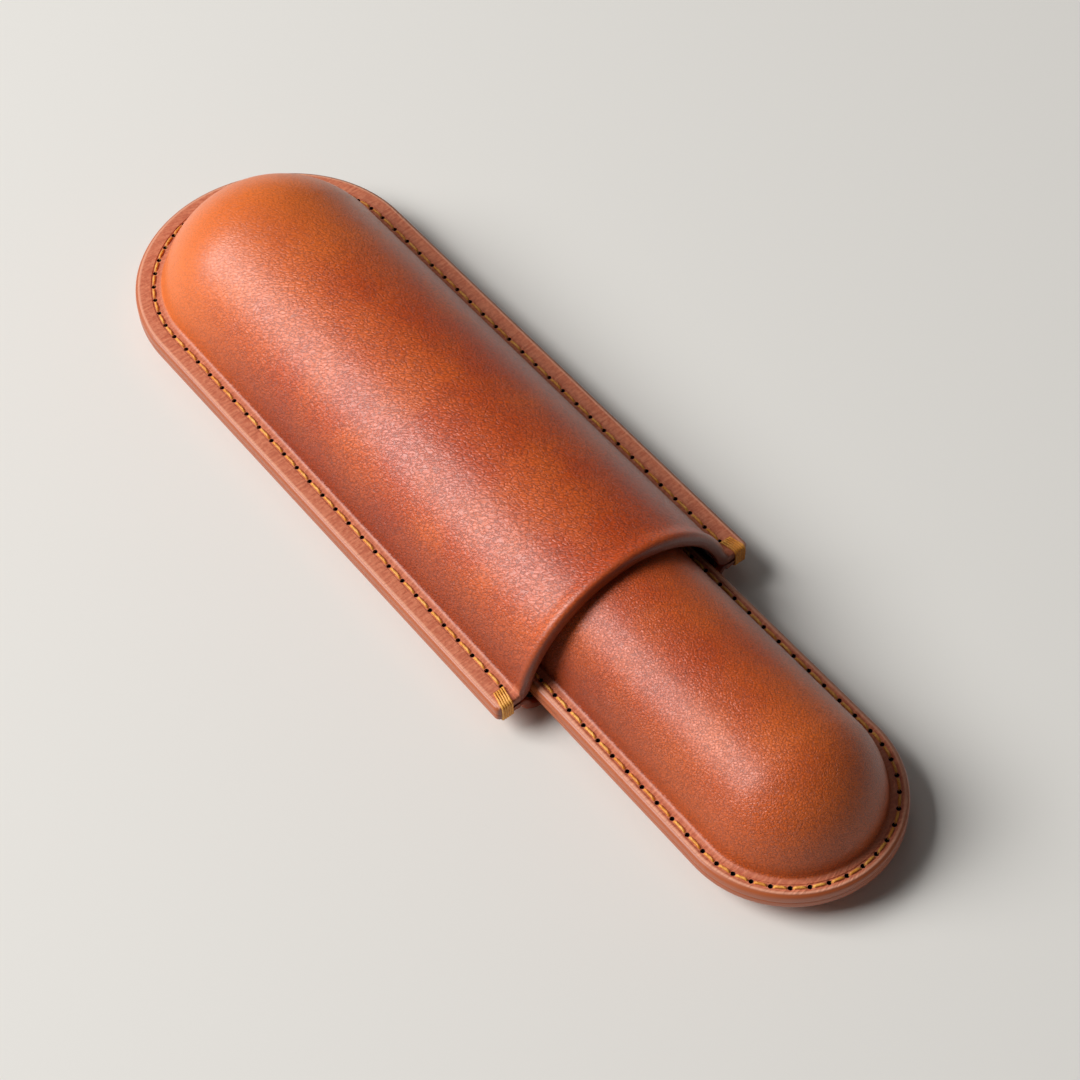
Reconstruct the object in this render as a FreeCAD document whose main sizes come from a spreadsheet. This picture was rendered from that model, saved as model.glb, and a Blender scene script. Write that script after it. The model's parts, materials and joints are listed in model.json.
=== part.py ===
"""Telescoping leather pen case: a cap slides over the mouth of a smaller body.

Each half is two moulded leather shells, face to face at a flat flange, lined on the inside and sewn
round the flange with a lockstitch that ends in a bar tack at each corner of the mouth.
"""
import FreeCAD
import Part
import Sketcher
import math
import os

Vector = FreeCAD.Vector
doc = FreeCAD.newDocument("pen_case")

# Driving sizes in millimetres, angles in degrees.
# The seam plane is where the upper and lower halves of a flange meet.
sizes = doc.addObject("Spreadsheet::Sheet", "Sizes")
driving = [
    ("leather_thickness", "1.2"),
    ("lining_thickness", "0.4"),
    ("edge_round", "0.7"),
    ("base_fillet", "0.8"),
    ("strip_width", "0.3"),
    ("groove_width", "0.9"),
    ("groove_depth", "0.3"),
    ("thread_width", "0.6"),
    ("thread_height", "0.5"),
    ("thread_taper", "15"),
    ("needle_gap", "0.9"),
    ("tack_length", "3.2"),
    ("strand_width", "0.36"),
    ("strand_pitch", "0.4"),
    ("strand_height", "0.4"),
    ("strand_offset", "0.45"),
    ("cap_straight", "90.2"),
    ("cap_stitch_half_width", "20.8"),
    ("cap_flange", "3.1"),
    ("cap_crown", "16.9"),
    ("cap_depth", "5"),
    ("cap_tray_wall", "4.55"),
    ("cap_side_stitches", "25"),
    ("cap_end_stitches", "22"),
    ("cap_tack_strands", "5"),
    ("body_straight", "116"),
    ("body_flange", "1.54"),
    ("body_tray_wall", "3.91"),
    ("body_side_stitches", "34"),
    ("body_end_stitches", "18"),
    ("body_tack_strands", "3"),
    ("body_reach", "36.1"),
    ("side_clearance", "0.45"),
    ("crown_clearance", "0.6"),
    ("depth_clearance", "0.6"),
]
for row, (alias, value) in enumerate(driving, start=1):
    sizes.set(f"A{row}", alias)
    sizes.set(f"B{row}", value)
    sizes.setAlias(f"B{row}", alias)
doc.recompute()

# Sizes that follow from the driving ones. The body runs inside the cap, so its width, crown and depth
# come from the cap's lining and the three clearances. The level land of each tray lies one tray wall
# inside its foot.
fits = doc.addObject("Spreadsheet::Sheet", "Fits")
wall = "Sizes.leather_thickness + Sizes.lining_thickness"
step = "Sizes.groove_width / 2 - Sizes.strip_width"
cap_end_pitch = "pi * Sizes.cap_stitch_half_width / Sizes.cap_end_stitches"
body_end_pitch = "pi * body_stitch_half_width / Sizes.body_end_stitches"
derived = [
    ("wall", f"={wall}"),
    ("lining_fillet", "=Sizes.base_fillet + Sizes.leather_thickness"),
    ("groove_floor", f"={wall} - Sizes.groove_depth"),
    ("cap_half_width", "=Sizes.cap_stitch_half_width + Sizes.cap_flange"),
    ("cap_foot", f"=Sizes.cap_stitch_half_width - {step}"),
    ("cap_rest_half_width", "=cap_foot - Sizes.cap_tray_wall"),
    ("cap_groove_edge", "=Sizes.cap_stitch_half_width + Sizes.groove_width / 2"),
    ("cap_lining_crown", "=Sizes.cap_crown - Sizes.leather_thickness"),
    ("cap_lining_depth", "=Sizes.cap_depth - Sizes.leather_thickness"),
    ("cap_inside_half_width", "=cap_foot - Sizes.base_fillet - wall"),
    ("cap_pitch", "=(Sizes.cap_straight - Sizes.tack_length) / Sizes.cap_side_stitches"),
    ("cap_stitch_length", "=cap_pitch - Sizes.needle_gap"),
    ("cap_end_step", "=180 / Sizes.cap_end_stitches"),
    ("cap_end_stitch_length", f"={cap_end_pitch} - Sizes.needle_gap"),
    ("cap_tack_start", "=cap_foot + Sizes.strand_offset + Sizes.strand_width / 2"),
    ("body_half_width", "=cap_inside_half_width - Sizes.side_clearance"),
    ("body_stitch_half_width", "=body_half_width - Sizes.body_flange"),
    ("body_foot", f"=body_stitch_half_width - {step}"),
    ("body_flat_half_width", "=body_foot - Sizes.body_tray_wall"),
    ("body_groove_edge", "=body_stitch_half_width + Sizes.groove_width / 2"),
    ("body_crown", "=Sizes.cap_crown - wall - Sizes.crown_clearance"),
    ("body_depth", "=Sizes.cap_depth - wall - Sizes.depth_clearance"),
    ("body_lining_crown", "=body_crown - Sizes.leather_thickness"),
    ("body_lining_depth", "=body_depth - Sizes.leather_thickness"),
    ("body_pitch", "=(Sizes.body_straight - Sizes.tack_length) / Sizes.body_side_stitches"),
    ("body_stitch_length", "=body_pitch - Sizes.needle_gap"),
    ("body_end_step", "=180 / Sizes.body_end_stitches"),
    ("body_end_stitch_length", f"={body_end_pitch} - Sizes.needle_gap"),
    ("body_tack_start", "=body_foot + Sizes.strand_offset + Sizes.strand_width / 2"),
    ("overall_length", "=cap_half_width + Sizes.cap_straight + Sizes.body_reach + body_half_width"),
    ("cap_centre", "=cap_half_width - overall_length / 2"),
    ("body_centre", "=overall_length / 2 - body_half_width"),
]
for row, (alias, formula) in enumerate(derived, start=1):
    fits.set(f"A{row}", alias)
    fits.set(f"B{row}", formula)
    fits.setAlias(f"B{row}", alias)
doc.recompute()


def number(reference):
    """Value of a cell named as Sheet.alias."""
    sheet, alias = reference.split(".")
    return float(doc.getObject(sheet).get(alias))


def datum(body, role):
    """Plane or axis of a body's own origin."""
    return next(item for item in body.Origin.OriginFeatures if item.Role == role)


def new_body(name, half, turned_over):
    """Body with its local origin at the centre of its rounded end, in the seam plane, mouth along +X.

    The cap keeps that direction and the body half is turned to face it. Lower pieces are modelled
    upwards and turned over.
    """
    body = doc.addObject("PartDesign::Body", name)
    body.Label = name
    body.AllowCompound = True
    turn = FreeCAD.Rotation()
    if half == "body":
        turn = FreeCAD.Rotation(Vector(0, 0, 1), 180)
    if turned_over:
        turn = turn * FreeCAD.Rotation(Vector(1, 0, 0), 180)
    body.Placement = FreeCAD.Placement(Vector(), turn)
    body.setExpression("Placement.Base.x", f"Fits.{half}_centre")
    body.setExpression("Placement.Base.z", "Sizes.cap_depth")
    return body


def new_sketch(body, name, role):
    """Sketch on one of the body's origin planes."""
    sketch = body.newObject("Sketcher::SketchObject", name)
    sketch.AttachmentSupport = [(datum(body, role), "")]
    sketch.MapMode = "FlatFace"
    return sketch


def dimension(sketch, name, reference, kind, *where):
    """Dimension of a sketch, bound to a cell."""
    index = sketch.addConstraint(Sketcher.Constraint(kind, *where, number(reference)))
    sketch.renameConstraint(index, name)
    sketch.setExpression(f"Constraints.{name}", reference)


def line(sketch, start, end):
    """Straight side of a sketch."""
    return sketch.addGeometry(Part.LineSegment(Vector(*start, 0), Vector(*end, 0)), False)


def arc(sketch, centre, radius, first, last):
    """Arc of a sketch, anticlockwise from the first angle to the last, in radians."""
    circle = Part.Circle(Vector(*centre, 0), Vector(0, 0, 1), radius)
    return sketch.addGeometry(Part.ArcOfCircle(circle, first, last), False)


def join(sketch, kind, first, first_end, second, second_end):
    """Coincident or tangent join of two ends."""
    sketch.addConstraint(Sketcher.Constraint(kind, first, first_end, second, second_end))


def level(sketch, kind, *sides):
    """Horizontal or vertical sides."""
    for side in sides:
        sketch.addConstraint(Sketcher.Constraint(kind, side))


def moulded_section(body, half_width, face, fillet, foot, crown, thickness, flat=None, groove=None):
    """Half of the cross-section of one moulded layer, from the axis out to the flange's edge.

    The flange lies on the seam, turns up at its foot through a small fillet and becomes an arch. With a
    flat, the arch ends in a level land on which the case rests. With a groove, the flange also has the
    pressed channel that the seam lies in, and a rounded, burnished edge.
    """
    sketch = new_sketch(body, "section", "YZ_Plane")
    wide = number(half_width)
    high = number(face)
    bend = number(fillet)
    toe = number(foot)
    top = number(crown)
    layer = number(thickness)
    land = number(flat) if flat else 0.0
    heel = high + bend
    radius = ((toe - land) ** 2 + (top - heel) ** 2 - bend ** 2) / (2 * (top - heel + bend))
    centre = (land, top - radius)
    lean = math.atan2(heel - centre[1], toe - land)
    away = lean + math.pi
    split = (land + (radius - layer) * math.cos(lean), centre[1] + (radius - layer) * math.sin(lean))

    # Outer face, from the flange's edge in to the crown.
    if groove:
        blend = number("Sizes.edge_round")
        outside = number(groove)
        inside = outside - number("Sizes.groove_width")
        floor = high - number("Sizes.groove_depth")
        edge = line(sketch, (wide, high - layer), (wide, high - blend))
        rounding = arc(sketch, (wide - blend, high - blend), blend, 0, math.pi / 2)
        margin = line(sketch, (wide - blend, high), (outside, high))
        outer_wall = line(sketch, (outside, high), (outside, floor))
        bed = line(sketch, (outside, floor), (inside, floor))
        inner_wall = line(sketch, (inside, floor), (inside, high))
        strip = line(sketch, (inside, high), (toe, high))
        join(sketch, "Tangent", edge, 2, rounding, 1)
        join(sketch, "Tangent", rounding, 2, margin, 1)
        join(sketch, "Coincident", margin, 2, outer_wall, 1)
        join(sketch, "Coincident", outer_wall, 2, bed, 1)
        join(sketch, "Coincident", bed, 2, inner_wall, 1)
        join(sketch, "Coincident", inner_wall, 2, strip, 1)
        level(sketch, "Vertical", edge, outer_wall, inner_wall)
        level(sketch, "Horizontal", margin, bed, strip)
        sketch.addConstraint(Sketcher.Constraint("Horizontal", margin, 2, strip, 1))
        dimension(sketch, "edge_round", "Sizes.edge_round", "Radius", rounding)
        dimension(sketch, "groove_edge", groove, "DistanceX", -1, 1, outer_wall, 1)
        dimension(sketch, "groove_width", "Sizes.groove_width", "DistanceX", bed, 2, bed, 1)
        dimension(sketch, "groove_depth", "Sizes.groove_depth", "DistanceY", outer_wall, 2, outer_wall, 1)
    else:
        edge = line(sketch, (wide, high - layer), (wide, high))
        strip = line(sketch, (wide, high), (toe, high))
        join(sketch, "Coincident", edge, 2, strip, 1)
        level(sketch, "Vertical", edge)
        level(sketch, "Horizontal", strip)
    turn = arc(sketch, (toe, heel), bend, away, 1.5 * math.pi)
    arch = arc(sketch, centre, radius, lean, math.pi / 2)
    join(sketch, "Tangent", turn, 2, strip, 2)
    join(sketch, "Tangent", arch, 1, turn, 1)

    # Inner face, the same centres at one thickness less.
    under_turn = arc(sketch, (toe, heel), bend + layer, away, 1.5 * math.pi)
    under_arch = arc(sketch, centre, radius - layer, lean, math.pi / 2)
    under = line(sketch, (toe, high - layer), (wide, high - layer))
    sketch.addConstraint(Sketcher.Constraint("Coincident", under_turn, 3, turn, 3))
    sketch.addConstraint(Sketcher.Constraint("Coincident", under_arch, 3, arch, 3))
    join(sketch, "Tangent", under_arch, 1, under_turn, 1)
    join(sketch, "Tangent", under_turn, 2, under, 1)
    join(sketch, "Coincident", under, 2, edge, 1)
    level(sketch, "Horizontal", under)

    # The crown meets the axis, with or without a level land.
    if flat:
        land_top = line(sketch, (land, top), (0, top))
        land_under = line(sketch, (land, top - layer), (0, top - layer))
        join(sketch, "Tangent", arch, 2, land_top, 1)
        join(sketch, "Tangent", under_arch, 2, land_under, 1)
        level(sketch, "Horizontal", land_top)
        axis = line(sketch, (0, top), (0, top - layer))
        join(sketch, "Coincident", land_top, 2, axis, 1)
        join(sketch, "Coincident", land_under, 2, axis, 2)
        dimension(sketch, "land", flat, "DistanceX", -1, 1, arch, 2)
    else:
        axis = line(sketch, (0, top), (0, top - layer))
        join(sketch, "Coincident", arch, 2, axis, 1)
        join(sketch, "Coincident", under_arch, 2, axis, 2)
        sketch.addConstraint(Sketcher.Constraint("PointOnObject", arch, 3, -2))
    sketch.addConstraint(Sketcher.Constraint("PointOnObject", axis, 1, -2))
    level(sketch, "Vertical", axis)

    dimension(sketch, "half_width", half_width, "DistanceX", -1, 1, edge, 1)
    dimension(sketch, "face", face, "DistanceY", -1, 1, strip, 2)
    dimension(sketch, "foot", foot, "DistanceX", -1, 1, strip, 2)
    dimension(sketch, "fillet", fillet, "Radius", turn)
    dimension(sketch, "crown", crown, "DistanceY", -1, 1, axis, 1)
    dimension(sketch, "thickness", thickness, "DistanceY", axis, 2, axis, 1)
    return sketch


def moulded_layer(name, half, turned_over, **section):
    """One layer of a half: the section run straight to the mouth and turned round the closed end."""
    body = new_body(name, half, turned_over)
    sketch = moulded_section(body, **section)
    side = body.newObject("PartDesign::Pad", "side")
    side.Profile = sketch
    side.setExpression("Length", f"Sizes.{half}_straight")
    doc.recompute()
    other_side = body.newObject("PartDesign::Mirrored", "other_side")
    other_side.Originals = [side]
    other_side.MirrorPlane = (datum(body, "XZ_Plane"), [""])
    body.Tip = other_side
    doc.recompute()
    end = body.newObject("PartDesign::Revolution", "closed_end")
    end.Profile = sketch
    end.ReferenceAxis = (sketch, ["V_Axis"])
    end.Angle = 180
    body.Tip = end
    doc.recompute()
    return body


def thread_run(body, name, length, offset_angle=None, start=None, radius=None):
    """One stitch lying on the floor of the groove, tapered towards its top."""
    sketch = new_sketch(body, name, "XY_Plane")
    long = number(length)
    wide = number("Sizes.thread_width")
    out = number(radius)
    left = number(start) / 2 if start else -long / 2
    corners = [
        (left, out - wide / 2),
        (left + long, out - wide / 2),
        (left + long, out + wide / 2),
        (left, out + wide / 2),
    ]
    sides = [line(sketch, corners[k], corners[(k + 1) % 4]) for k in range(4)]
    for k in range(4):
        join(sketch, "Coincident", sides[k], 2, sides[(k + 1) % 4], 1)
    level(sketch, "Horizontal", sides[0], sides[2])
    level(sketch, "Vertical", sides[1], sides[3])
    dimension(sketch, "length", length, "DistanceX", sides[0], 1, sides[0], 2)
    dimension(sketch, "width", "Sizes.thread_width", "DistanceY", sides[1], 1, sides[1], 2)
    middle = sketch.addGeometry(Part.Point(Vector(left + long / 2, out, 0)), True)
    sketch.addConstraint(Sketcher.Constraint("Symmetric", sides[0], 1, sides[2], 1, middle, 1))
    dimension(sketch, "radius", radius, "DistanceY", -1, 1, middle, 1)
    if start:
        dimension(sketch, "start", start, "DistanceX", -1, 1, sides[0], 1)
        sketch.setExpression("Constraints.start", f"{start} / 2")
    else:
        sketch.addConstraint(Sketcher.Constraint("PointOnObject", middle, 1, -2))
    if offset_angle:
        sketch.AttachmentOffset = FreeCAD.Placement(Vector(), FreeCAD.Rotation(Vector(0, 0, 1), 5))
        sketch.setExpression("AttachmentOffset.Rotation.Angle", f"{offset_angle} / 2")
    sketch.setExpression("AttachmentOffset.Base.z", "Fits.groove_floor")
    pad = body.newObject("PartDesign::Pad", name + "_thread")
    pad.Profile = sketch
    pad.setExpression("Length", "Sizes.thread_height")
    pad.setExpression("TaperAngle", "-Sizes.thread_taper")
    body.Tip = pad
    doc.recompute()
    return pad


def stitches(name, half, turned_over, radius):
    """The visible thread of one side of a seam: evenly spaced stitches up both sides and round the end."""
    body = new_body(name, half, turned_over)
    first = thread_run(body, "side", f"Fits.{half}_stitch_length", start="Sizes.needle_gap", radius=radius)
    both = body.newObject("PartDesign::MultiTransform", "both_sides")
    both.Originals = [first]
    row = body.newObject("PartDesign::LinearPattern", "side_row")
    row.Direction = (datum(body, "X_Axis"), [""])
    row.setExpression("Length", f"Fits.{half}_pitch * (Sizes.{half}_side_stitches - 1)")
    row.setExpression("Occurrences", f"Sizes.{half}_side_stitches")
    across = body.newObject("PartDesign::Mirrored", "across")
    across.MirrorPlane = (datum(body, "XZ_Plane"), [""])
    both.Transformations = [row, across]
    body.Tip = both
    doc.recompute()
    length = f"Fits.{half}_end_stitch_length"
    curved = thread_run(body, "end", length, offset_angle=f"Fits.{half}_end_step", radius=radius)
    around = body.newObject("PartDesign::PolarPattern", "around_end")
    around.Originals = [curved]
    around.Axis = (datum(body, "Z_Axis"), [""])
    around.setExpression("Angle", f"180 - Fits.{half}_end_step")
    around.setExpression("Occurrences", f"Sizes.{half}_end_stitches")
    body.Tip = around
    doc.recompute()
    return body


def bar_tack(name, half, side):
    """Strands bound side by side round the mouth's edge, where the seam begins or ends."""
    body = new_body(name, half, False)
    sketch = new_sketch(body, "strand", "XZ_Plane")
    mouth = number(f"Sizes.{half}_straight")
    back = mouth - number("Sizes.tack_length")
    face = number("Fits.wall")
    rise = number("Sizes.strand_height")
    corners = [
        (back, face),
        (mouth, face),
        (mouth, -face),
        (back, -face),
        (back, -face - rise),
        (mouth + rise, -face - rise),
        (mouth + rise, face + rise),
        (back, face + rise),
    ]
    sides = [line(sketch, corners[k], corners[(k + 1) % 8]) for k in range(8)]
    for k in range(8):
        join(sketch, "Coincident", sides[k], 2, sides[(k + 1) % 8], 1)
    level(sketch, "Horizontal", sides[0], sides[2], sides[4], sides[6])
    level(sketch, "Vertical", sides[3], sides[5], sides[7])
    sketch.addConstraint(Sketcher.Constraint("Symmetric", sides[0], 2, sides[1], 2, -1))
    sketch.addConstraint(Sketcher.Constraint("Vertical", sides[0], 1, sides[2], 2))
    sketch.addConstraint(Sketcher.Constraint("Equal", sides[3], sides[7]))
    dimension(sketch, "mouth", f"Sizes.{half}_straight", "DistanceX", -1, 1, sides[0], 2)
    dimension(sketch, "length", "Sizes.tack_length", "DistanceX", sides[0], 1, sides[0], 2)
    dimension(sketch, "face", "Fits.wall", "DistanceY", -1, 1, sides[0], 2)
    dimension(sketch, "rise", "Sizes.strand_height", "DistanceY", sides[7], 2, sides[7], 1)
    dimension(sketch, "front", "Sizes.strand_height", "DistanceX", sides[1], 1, sides[5], 1)
    # The left side of the case is +Y. The plane looks along -Y, and the body half is turned about.
    along_y = (side == "left") == (half == "cap")
    sign = "-" if along_y else ""
    sketch.setExpression("AttachmentOffset.Base.z", f"{sign}Fits.{half}_tack_start")
    strand = body.newObject("PartDesign::Pad", "strand_thread")
    strand.Profile = sketch
    strand.Midplane = True
    strand.setExpression("Length", "Sizes.strand_width")
    body.Tip = strand
    doc.recompute()
    row = body.newObject("PartDesign::LinearPattern", "strands")
    row.Originals = [strand]
    row.Direction = (datum(body, "Y_Axis"), [""])
    row.Reversed = not along_y
    row.setExpression("Length", f"Sizes.strand_pitch * (Sizes.{half}_tack_strands - 1)")
    row.setExpression("Occurrences", f"Sizes.{half}_tack_strands")
    body.Tip = row
    doc.recompute()
    return body


parts = []

# Cap, the outer half.
cap_leather = {
    "half_width": "Fits.cap_half_width",
    "face": "Fits.wall",
    "fillet": "Sizes.base_fillet",
    "foot": "Fits.cap_foot",
    "thickness": "Sizes.leather_thickness",
    "groove": "Fits.cap_groove_edge",
}
cap_lining = {
    "half_width": "Fits.cap_half_width",
    "face": "Sizes.lining_thickness",
    "fillet": "Fits.lining_fillet",
    "foot": "Fits.cap_foot",
    "thickness": "Sizes.lining_thickness",
}
parts.append(moulded_layer("cap_top_shell", "cap", False, crown="Sizes.cap_crown", **cap_leather))
parts.append(moulded_layer("cap_top_lining", "cap", False, crown="Fits.cap_lining_crown", **cap_lining))
cap_leather["flat"] = "Fits.cap_rest_half_width"
cap_lining["flat"] = "Fits.cap_rest_half_width"
parts.append(moulded_layer("cap_bottom_shell", "cap", True, crown="Sizes.cap_depth", **cap_leather))
parts.append(moulded_layer("cap_bottom_lining", "cap", True, crown="Fits.cap_lining_depth", **cap_lining))
parts.append(stitches("cap_top_stitches", "cap", False, "Sizes.cap_stitch_half_width"))
parts.append(stitches("cap_bottom_stitches", "cap", True, "Sizes.cap_stitch_half_width"))
parts.append(bar_tack("cap_left_bar_tack", "cap", "left"))
parts.append(bar_tack("cap_right_bar_tack", "cap", "right"))

# Body, the inner half, which runs in the cap.
body_leather = {
    "half_width": "Fits.body_half_width",
    "face": "Fits.wall",
    "fillet": "Sizes.base_fillet",
    "foot": "Fits.body_foot",
    "thickness": "Sizes.leather_thickness",
    "groove": "Fits.body_groove_edge",
}
body_lining = {
    "half_width": "Fits.body_half_width",
    "face": "Sizes.lining_thickness",
    "fillet": "Fits.lining_fillet",
    "foot": "Fits.body_foot",
    "thickness": "Sizes.lining_thickness",
}
parts.append(moulded_layer("body_top_shell", "body", False, crown="Fits.body_crown", **body_leather))
parts.append(moulded_layer("body_top_lining", "body", False, crown="Fits.body_lining_crown", **body_lining))
body_leather["flat"] = "Fits.body_flat_half_width"
body_lining["flat"] = "Fits.body_flat_half_width"
parts.append(moulded_layer("body_bottom_shell", "body", True, crown="Fits.body_depth", **body_leather))
parts.append(moulded_layer("body_bottom_lining", "body", True, crown="Fits.body_lining_depth", **body_lining))
parts.append(stitches("body_top_stitches", "body", False, "Fits.body_stitch_half_width"))
parts.append(stitches("body_bottom_stitches", "body", True, "Fits.body_stitch_half_width"))
parts.append(bar_tack("body_left_bar_tack", "body", "left"))
parts.append(bar_tack("body_right_bar_tack", "body", "right"))

doc.recompute()
for item in doc.Objects:
    if "Invalid" in item.State or "Error" in item.State:
        raise RuntimeError(f"{item.Label} failed to build: {item.State}")
for part in parts:
    if part.Shape.isNull() or not part.Shape.isValid():
        raise RuntimeError(f"{part.Label} has no valid shape")

os.makedirs("parts", exist_ok=True)
for part in parts:
    part.Shape.exportStep(f"parts/{part.Label}.step")
    print(f"{part.Label}: {len(part.Shape.Solids)} solids, {part.Shape.Volume:.1f} mm3")
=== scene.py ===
"""Looks of a telescoping leather pen case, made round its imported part. Metres, in the row frame."""
import json
import math

import bmesh
import bpy
from mathutils import Matrix, Vector

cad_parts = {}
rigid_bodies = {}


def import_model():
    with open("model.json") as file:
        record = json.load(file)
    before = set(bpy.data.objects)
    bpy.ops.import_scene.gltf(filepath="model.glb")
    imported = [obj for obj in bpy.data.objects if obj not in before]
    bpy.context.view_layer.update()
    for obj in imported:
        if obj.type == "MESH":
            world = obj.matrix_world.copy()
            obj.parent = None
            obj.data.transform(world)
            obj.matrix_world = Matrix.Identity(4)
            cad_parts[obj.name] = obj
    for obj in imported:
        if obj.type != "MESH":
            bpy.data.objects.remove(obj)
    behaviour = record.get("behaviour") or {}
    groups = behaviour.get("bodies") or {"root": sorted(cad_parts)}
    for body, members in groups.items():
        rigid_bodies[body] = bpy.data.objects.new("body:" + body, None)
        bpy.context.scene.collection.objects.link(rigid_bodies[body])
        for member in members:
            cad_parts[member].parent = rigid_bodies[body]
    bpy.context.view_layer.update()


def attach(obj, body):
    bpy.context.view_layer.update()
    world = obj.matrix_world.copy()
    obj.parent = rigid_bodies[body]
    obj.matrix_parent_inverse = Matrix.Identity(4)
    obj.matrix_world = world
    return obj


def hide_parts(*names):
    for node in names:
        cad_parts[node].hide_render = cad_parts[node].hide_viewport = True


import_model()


# Cap, upper half. One piece of waxed cognac leather, moulded wet over a former into a rounded
# trough with a flat flange. The mouth is rolled over, the flange is grooved and pricked. Sizes are
# in millimetres and become metres by MM.
MM = 0.001
LEATHER = 1.2
LINING = 0.4
FLANGE_TOP = LEATHER + LINING
BASE_FILLET = 0.8
STITCH_STEP = 0.75
EDGE_ROUND = 0.7
GROOVE_HALF_WIDTH = 0.5
GROOVE_SLOPE = 0.06
GROOVE_DEPTH = 0.14
MARGIN_SWELL = 0.04
NICK_WIDTH = 0.05
NICK_HEIGHT = 0.07
LIP = 0.6
SEAM_GAP = 0.01
MOUTH_BEAD = 0.16
HOLE_SIZE = 0.39
HOLE_DEPTH = 0.75
# Depth below the flange top past which a hole's faces take the painted shade.
PAINTED_SHADE_DEPTH = 0.6
TACK_LENGTH = 3.2
SMOOTH_ANGLE = math.radians(48)
TOUCH = 0.001
CAP_CENTRE = -59.8 * MM
CAP_STRAIGHT = 90.2
CAP_CROWN = 16.9
CAP_DEPTH = 5
CAP_FLANGE = 3.1
CAP_TRAY_WALL = 4.55
CAP_STITCH_LINE = 20.8
CAP_HALF_WIDTH = CAP_STITCH_LINE + CAP_FLANGE
CAP_FOOT = CAP_STITCH_LINE - STITCH_STEP
CAP_LAND = CAP_FOOT - CAP_TRAY_WALL
CAP_SIDE_STITCHES = 25
CAP_END_STITCHES = 22
CAP_PITCH = (CAP_STRAIGHT - TACK_LENGTH) / CAP_SIDE_STITCHES
SEAM_HEIGHT = CAP_DEPTH * MM


def work_on(piece):
    """Makes one object the only one that is selected and active."""
    bpy.ops.object.select_all(action="DESELECT")
    piece.select_set(True)
    bpy.context.view_layer.objects.active = piece


def pick(kind, test):
    """Selects the vertices, edges or faces of the mesh in edit mode that pass a test."""
    bpy.ops.mesh.select_mode(type=kind)
    bpy.ops.mesh.select_all(action="DESELECT")
    mesh = bmesh.from_edit_mesh(bpy.context.object.data)
    mesh.normal_update()
    for item in {"VERT": mesh.verts, "EDGE": mesh.edges, "FACE": mesh.faces}[kind]:
        if test(item):
            item.select_set(True)
    mesh.select_flush_mode()
    bmesh.update_edit_mesh(bpy.context.object.data)


def start_section(name, height):
    """Starts a section across the case as one vertex on the middle line, in edit mode."""
    bpy.ops.object.select_all(action="DESELECT")
    bpy.ops.mesh.primitive_plane_add(size=MM)
    piece = bpy.context.object
    piece.name = name
    piece.data.name = name
    bpy.ops.object.mode_set(mode="EDIT")
    bpy.ops.mesh.select_mode(type="VERT")
    bpy.ops.mesh.merge(type="CENTER")
    bpy.ops.transform.translate(value=(0, 0, height * MM))
    return piece


def draw_line(out, up, steps=1):
    """Draws the section on by a straight line, from the vertex drawn last."""
    for _ in range(steps):
        move = (0, out * MM / steps, up * MM / steps)
        bpy.ops.mesh.extrude_vertices_move(TRANSFORM_OT_translate={"value": move})


def draw_arc(out, up, angle, steps):
    """Draws the section on by an arc about a centre."""
    bpy.ops.mesh.spin(steps=steps, angle=-angle, use_auto_merge=False,
                      center=(0, out * MM, up * MM), axis=(1, 0, 0))


def sweep_section(end_steps, run, divisions):
    """Turns the section round the closed end and draws it along both sides towards the mouth."""
    bpy.ops.mesh.select_all(action="SELECT")
    bpy.ops.mesh.spin(steps=end_steps, angle=-math.pi, use_auto_merge=False,
                      center=(0, 0, 0), axis=(0, 0, 1))
    bpy.ops.mesh.select_all(action="SELECT")
    bpy.ops.mesh.remove_doubles(threshold=0.002 * MM)
    pick("EDGE", lambda edge: all(abs(v.co.x) < TOUCH * MM for v in edge.verts))
    bpy.ops.mesh.extrude_region_move(TRANSFORM_OT_translate={"value": (run * MM, 0, 0)})
    for count in divisions:
        pick("EDGE", lambda edge: abs(edge.verts[0].co.x - edge.verts[1].co.x) > 0.99 * run * MM)
        bpy.ops.mesh.subdivide(number_cuts=count - 1)
        run /= count
    bpy.ops.mesh.select_all(action="SELECT")
    bpy.ops.mesh.normals_make_consistent(inside=False)


def roll_mouth(start, foot, half_width, steps):
    """Draws the mouth out row by row and closes the wall's end. Each row swells or thins the dome's
    two faces, thins the flange by a factor and draws the flange's corners in."""
    reach = start
    dome_edge = foot - 0.4
    corner_start = half_width - 1.2
    inner_axis = -5 * MM
    for advance, dome, flange, inside, corner in steps:
        pick("VERT", lambda v: v.co.x > (reach - TOUCH) * MM)
        bpy.ops.mesh.extrude_region_move(TRANSFORM_OT_translate={"value": (advance * MM, 0, 0)})
        reach += advance

        def swell(v):
            outward = v.normal.y * v.co.y + v.normal.z * (v.co.z - inner_axis) > 0
            return dome if outward else inside

        for amount in {dome, inside} - {0}:
            pick("VERT", lambda v: v.co.x > (reach - TOUCH) * MM and abs(v.co.y) < dome_edge * MM
                 and swell(v) == amount)
            bpy.ops.transform.shrink_fatten(value=amount * MM, use_even_offset=True)
        pick("VERT", lambda v: v.co.x > (reach - TOUCH) * MM and abs(v.co.y) > dome_edge * MM)
        bpy.ops.transform.resize(value=(1, 1, flange), center_override=(0, 0, 0))
        for hand in (1, -1):
            pick("VERT", lambda v: v.co.x > (reach - TOUCH) * MM
                 and hand * v.co.y > corner_start * MM)
            bpy.ops.transform.translate(value=(0, -hand * corner * MM, 0))
    pick("EDGE", lambda edge: edge.is_boundary)
    bpy.ops.mesh.edge_face_add()
    bpy.ops.mesh.quads_convert_to_tris(ngon_method="CLIP")
    bpy.ops.mesh.select_all(action="SELECT")
    bpy.ops.mesh.normals_make_consistent(inside=False)


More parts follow.
